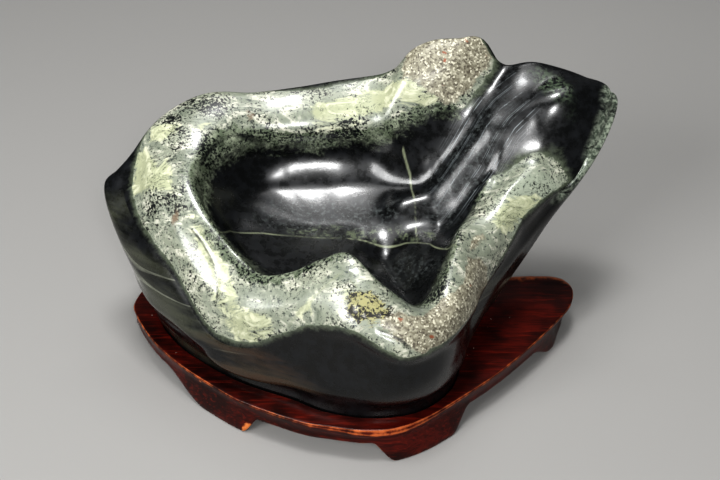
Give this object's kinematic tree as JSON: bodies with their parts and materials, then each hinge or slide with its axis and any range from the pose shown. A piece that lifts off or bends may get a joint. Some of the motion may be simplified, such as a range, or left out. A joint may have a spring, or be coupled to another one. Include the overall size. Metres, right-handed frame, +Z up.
{
  "type": "scholars rock",
  "caption": "Polished black and pale green viewing stone with a hollow in its top, seated in a carved red-brown wooden stand on bracket feet.",
  "frame": {"origin": "on the ground under the middle of the whole, stone and stand together", "axes": "+Z up from the ground, -Y towards the front, where the stone's rim is lowest, +X along the length towards the nose"},
  "size_m": [0.2408, 0.1454, 0.1348],
  "materials": {
    "stone": "high polish, black with a pale celadon rim band and tan granite patches",
    "stand": "dark red-brown lacquer, worn to orange along the edges"
  },
  "bodies": {
    "root": {"stone": "stone", "stand": "stand"}
  },
  "joints": []
}
